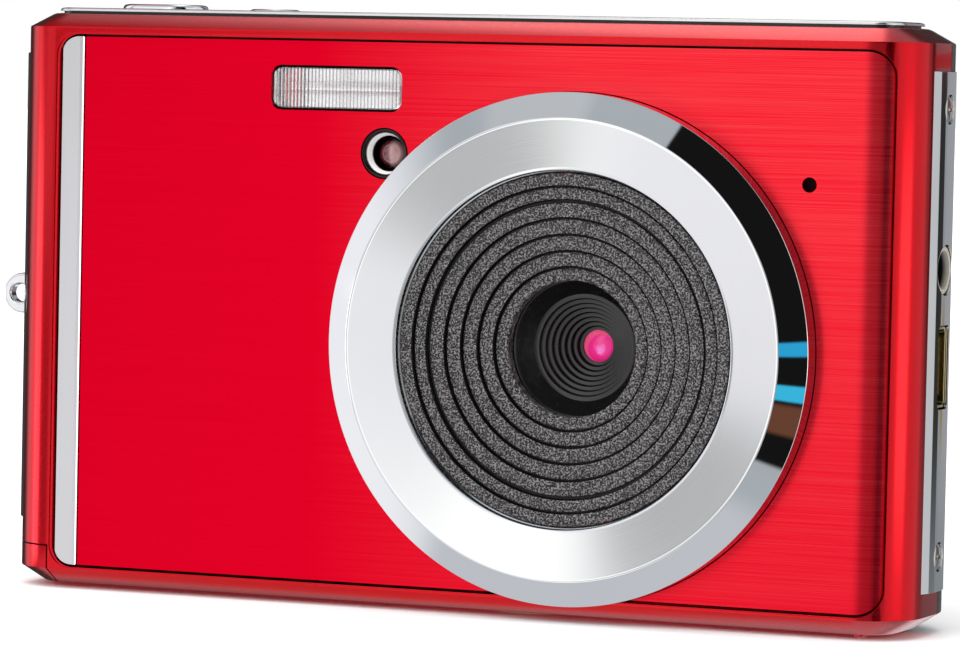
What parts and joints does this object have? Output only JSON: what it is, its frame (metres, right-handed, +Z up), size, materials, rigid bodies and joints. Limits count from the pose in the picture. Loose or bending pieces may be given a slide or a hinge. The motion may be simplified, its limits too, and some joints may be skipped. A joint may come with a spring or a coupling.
{
  "type": "compact digital camera",
  "caption": "Red compact digital camera with a large polished lens surround, a stepped dark lens disc, a rear screen with keys, and a battery door that slides and swings.",
  "frame": {"origin": "centre of the bounding box's bottom face, level with the soles of the four small feet", "axes": "+Z up, -Y the way the lens looks, +X towards the side with the sockets (the viewer's right when facing the lens)"},
  "size_m": [0.1, 0.0234, 0.0588],
  "materials": {
    "red_shell": "gloss red lacquer",
    "red_brushed": "red anodised, brushed along X",
    "bright_strip": "polished",
    "chrome_ring": "polished, two facets",
    "dark_disc": "fine grain",
    "black_cone": "moulded black",
    "lens_glass": "coated",
    "clear_glass": "clear",
    "flash_clear": "ribbed clear plastic",
    "reflector": "bright",
    "lamp_dome": "tinted",
    "lamp_ring": "bright",
    "chrome_trim": "polished",
    "steel": "bright",
    "cream_plastic": "moulded",
    "port_metal": "stamped",
    "silver_top": "satin silver",
    "chrome_button": "polished",
    "black_shell": "fine grain",
    "screen_glass": "dark window",
    "panel_dark": "display module",
    "silver_key": "silver lacquer",
    "board_green": "circuit board",
    "frame_grey": "moulded",
    "cell_wrap": "wrapped cell",
    "gold_contact": "plated",
    "card_plastic": "moulded",
    "brass_bush": "turned",
    "black_part": "moulded",
    "led_red": "clear red",
    "sensor_glass": "sensor cover"
  },
  "bodies": {
    "camera": {"front_cover": "red_shell", "front_panel": "red_brushed", "panel_strip": "bright_strip", "lens_surround": "chrome_ring", "lens_disc": "dark_disc", "lens_cone": "black_cone", "front_lens": "lens_glass", "lens_barrel": "black_part", "rear_lens": "clear_glass", "image_sensor": "sensor_glass", "flash_window": "flash_clear", "flash_reflector": "reflector", "flash_tube": "clear_glass", "flash_capacitor": "black_part", "lamp_bezel": "lamp_ring", "lamp_lens": "lamp_dome", "timer_led": "led_red", "microphone": "port_metal", "speaker": "black_part", "side_trim_right": "chrome_trim", "side_trim_left": "chrome_trim", "trim_screw_lower": "steel", "trim_screw_upper": "steel", "jack_socket": "cream_plastic", "usb_socket": "port_metal", "strap_lug": "steel", "inner_frame": "frame_grey", "top_cover": "silver_top", "button_board": "board_green", "rear_cover": "black_shell", "screen_window": "screen_glass", "screen_panel": "panel_dark", "key_board": "board_green", "main_board": "board_green", "battery": "cell_wrap", "battery_contacts": "gold_contact", "card_socket": "steel", "tripod_bush": "brass_bush"},
    "shutter": {"shutter_button": "chrome_button"},
    "power": {"power_button": "chrome_button"},
    "zoom": {"zoom_rocker": "silver_key"},
    "menu": {"menu_button": "silver_key"},
    "play": {"play_button": "silver_key"},
    "delete": {"delete_button": "silver_key"},
    "up": {"up_key": "silver_key"},
    "down": {"down_key": "silver_key"},
    "left": {"left_key": "silver_key"},
    "right": {"right_key": "silver_key"},
    "ok": {"ok_button": "silver_key"},
    "door_slider": {"door_pin": "steel"},
    "door": {"battery_door": "red_shell"},
    "card": {"memory_card": "card_plastic"}
  },
  "joints": [
    {"name": "shutter_press", "type": "slide", "parent": "camera", "child": "shutter", "axis": [0, 0, -1], "range_m": [0, 0.0008], "stiffness_N_per_m": 500},
    {"name": "power_press", "type": "slide", "parent": "camera", "child": "power", "axis": [0, 0, -1], "range_m": [0, 0.0006], "stiffness_N_per_m": 600},
    {"name": "menu_press", "type": "slide", "parent": "camera", "child": "menu", "axis": [0, -1, 0], "range_m": [0, 0.0005], "stiffness_N_per_m": 800},
    {"name": "play_press", "type": "slide", "parent": "camera", "child": "play", "axis": [0, -1, 0], "range_m": [0, 0.0005], "stiffness_N_per_m": 800},
    {"name": "delete_press", "type": "slide", "parent": "camera", "child": "delete", "axis": [0, -1, 0], "range_m": [0, 0.0005], "stiffness_N_per_m": 800},
    {"name": "up_press", "type": "slide", "parent": "camera", "child": "up", "axis": [0, -1, 0], "range_m": [0, 0.0005], "stiffness_N_per_m": 800},
    {"name": "down_press", "type": "slide", "parent": "camera", "child": "down", "axis": [0, -1, 0], "range_m": [0, 0.0005], "stiffness_N_per_m": 800},
    {"name": "left_press", "type": "slide", "parent": "camera", "child": "left", "axis": [0, -1, 0], "range_m": [0, 0.0005], "stiffness_N_per_m": 800},
    {"name": "right_press", "type": "slide", "parent": "camera", "child": "right", "axis": [0, -1, 0], "range_m": [0, 0.0005], "stiffness_N_per_m": 800},
    {"name": "ok_press", "type": "slide", "parent": "camera", "child": "ok", "axis": [0, -1, 0], "range_m": [0, 0.0005], "stiffness_N_per_m": 800},
    {"name": "card_press", "type": "slide", "parent": "camera", "child": "card", "axis": [0, 0, 1], "range_m": [0, 0.0008], "stiffness_N_per_m": 700},
    {"name": "zoom_tip", "type": "hinge", "parent": "camera", "child": "zoom", "pos_m": [-0.02442, 0.00878, 0.0495], "axis": [0, 0, 1], "range_deg": [-3.5, 3.5], "stiffness_Nm_per_rad": 0.022},
    {"name": "door_slide", "type": "slide", "parent": "camera", "child": "door_slider", "axis": [-1, 0, 0], "range_m": [0, 0.0025]},
    {"name": "door_hinge", "type": "hinge", "parent": "door_slider", "child": "door", "pos_m": [-0.02293, 0.00738, 0.0019], "axis": [1, 0, 0], "range_deg": [0, 95]}
  ]
}
